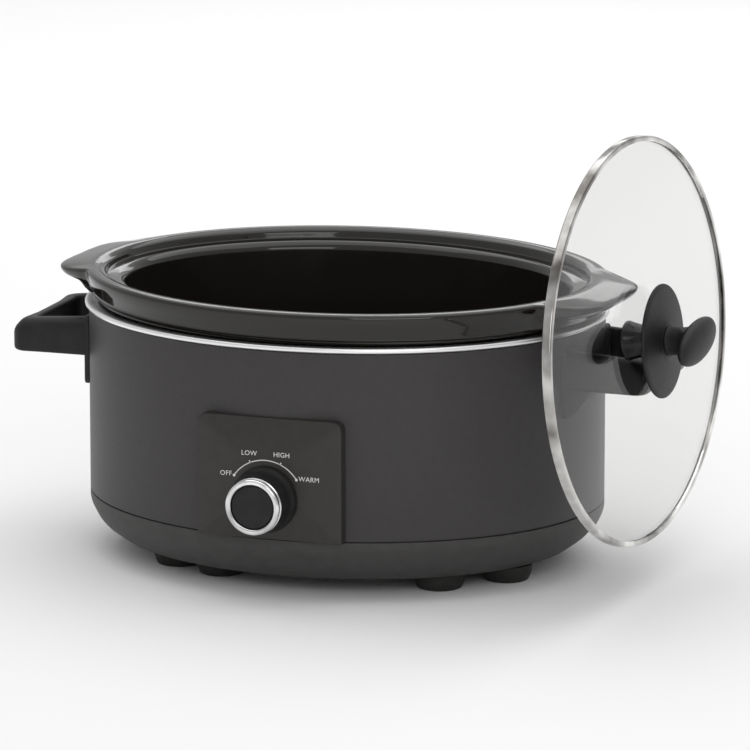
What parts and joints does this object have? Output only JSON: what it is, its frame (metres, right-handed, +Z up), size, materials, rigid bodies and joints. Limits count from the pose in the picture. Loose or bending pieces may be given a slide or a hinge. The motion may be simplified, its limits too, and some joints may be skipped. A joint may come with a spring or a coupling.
{
  "type": "slow cooker",
  "caption": "Oval electric slow cooker with a lift-out glazed crock, a turning control knob, two loop handles and a domed glass lid hung on one handle.",
  "frame": {"origin": "middle of the overall footprint, lid included, on the floor under the feet", "axes": "+Z up, -Y toward the control panel and knob, +X toward the handle that carries the lid"},
  "size_m": [0.4742, 0.3538, 0.292],
  "materials": {
    "painted_shell": "satin charcoal",
    "base_plastic": "moulded matt",
    "matt_black_plastic": "fine moulded texture",
    "gloss_black_plastic": "polished",
    "foot_rubber": "matt",
    "seal_silicone": "matt",
    "pan_aluminium": "bright rolled rim",
    "mica_band": "matt mica wrap",
    "plain_steel": "zinc plated",
    "rim_steel": "polished band",
    "porcelain": "unglazed",
    "brass": "machined",
    "lead_sleeve": "glass fibre sleeve",
    "chrome": "polished",
    "black_glaze": "gloss glaze",
    "lid_glass": "clear toughened"
  },
  "bodies": {
    "base_unit": {"body_shell": "painted_shell", "base_housing": "base_plastic", "foot_front_left": "foot_rubber", "foot_front_right": "foot_rubber", "foot_back_left": "foot_rubber", "foot_back_right": "foot_rubber", "foot_front_inner": "foot_rubber", "foot_right_outer": "foot_rubber", "foot_back_inner": "foot_rubber", "foot_left_outer": "foot_rubber", "heating_pan": "pan_aluminium", "rim_ring": "pan_aluminium", "heater_band": "mica_band", "heat_shield": "plain_steel", "stud_spacer": "plain_steel", "pan_stud": "plain_steel", "stud_nut": "plain_steel", "thermal_fuse": "porcelain", "fuse_clip": "plain_steel", "cord_gland": "foot_rubber", "terminal_block": "porcelain", "earth_tab": "brass", "lead_supply_switch": "lead_sleeve", "lead_switch_heater": "lead_sleeve", "lead_heater_fuse": "lead_sleeve", "lead_fuse_supply": "lead_sleeve", "control_panel": "matt_black_plastic", "switch_body": "base_plastic", "switch_nut": "brass", "handle_right": "matt_black_plastic", "handle_left": "matt_black_plastic", "handle_screw_right_front": "plain_steel", "handle_screw_right_back": "plain_steel", "handle_screw_left_front": "plain_steel", "handle_screw_left_back": "plain_steel"},
    "control_knob": {"knob_body": "matt_black_plastic", "knob_inner_band": "chrome", "knob_ring": "chrome", "knob_cap": "matt_black_plastic", "switch_shaft": "brass"},
    "crock_insert": {"crock": "black_glaze"},
    "lid": {"lid_glass": "lid_glass", "lid_rim": "rim_steel", "lid_washer": "seal_silicone", "lid_grip": "matt_black_plastic", "lid_cap_nut": "gloss_black_plastic", "lid_stud": "plain_steel", "knob_guard": "matt_black_plastic"}
  },
  "joints": [
    {"name": "knob_turn", "type": "hinge", "parent": "base_unit", "child": "control_knob", "pos_m": [-0.02384, -0.12122, 0.0665], "axis": [0, 1, 0], "range_deg": [0, 120]},
    {"name": "crock_lift", "type": "slide", "parent": "base_unit", "child": "crock_insert", "axis": [0, 0, 1], "range_m": [0, 0.2]},
    {"name": "lid_lift", "type": "slide", "parent": "base_unit", "child": "lid", "axis": [0, 0, 1], "range_m": [0, 0.2]}
  ]
}
